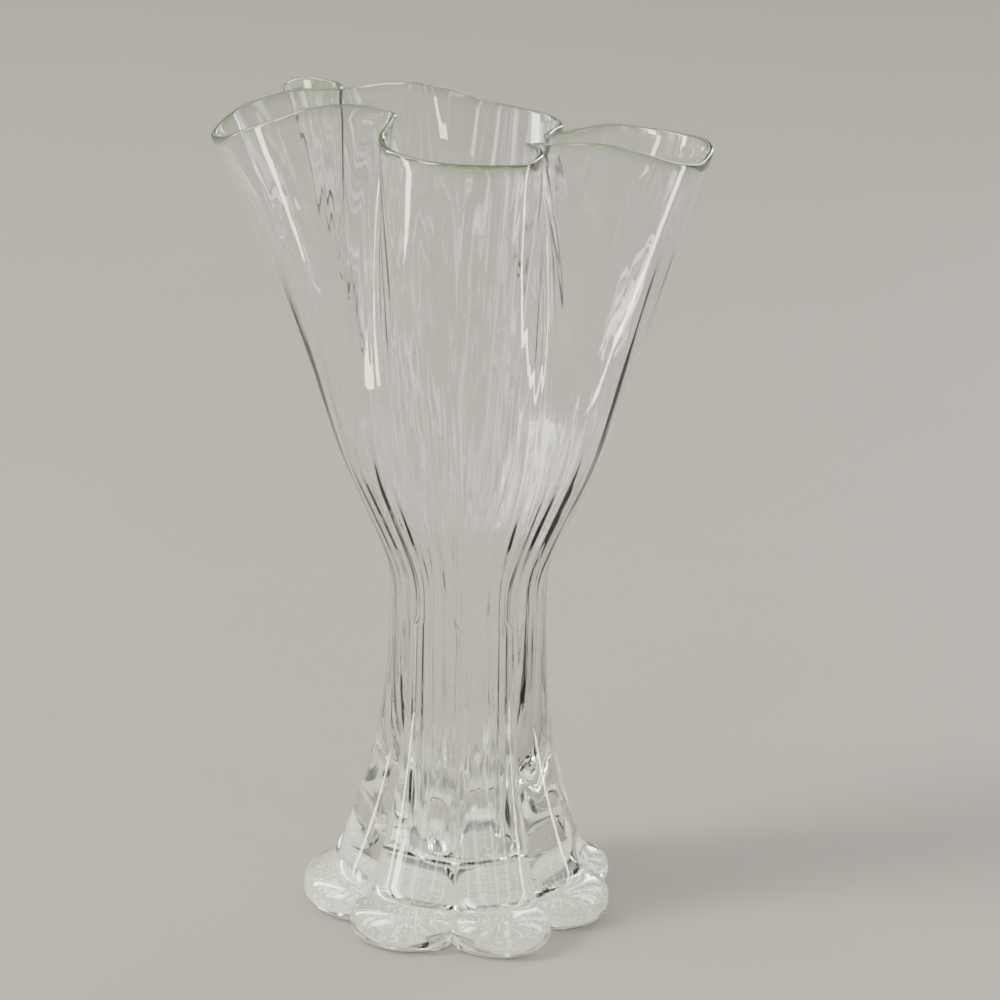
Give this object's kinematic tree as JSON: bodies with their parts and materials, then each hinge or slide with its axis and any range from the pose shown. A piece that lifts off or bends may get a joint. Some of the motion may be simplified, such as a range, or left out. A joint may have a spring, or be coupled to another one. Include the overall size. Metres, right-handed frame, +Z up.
{
  "type": "ruffled glass vase",
  "caption": "Clear blown-glass vase: rounded petal foot, thick base, slim ribbed neck and a wide bowl that flares up to a folded, ruffled rim.",
  "frame": {"origin": "Centre of the flat underside, on the surface that the vase stands on, below the middle of the neck.", "axes": "+Z up the vase, from the foot to the rim. -Y is the front, towards the camera of the picture. +X is its right."},
  "size_m": [0.1797, 0.1733, 0.3051],
  "materials": {
    "clear_glass": "polished"
  },
  "bodies": {
    "root": {"vase": "clear_glass"}
  },
  "joints": []
}
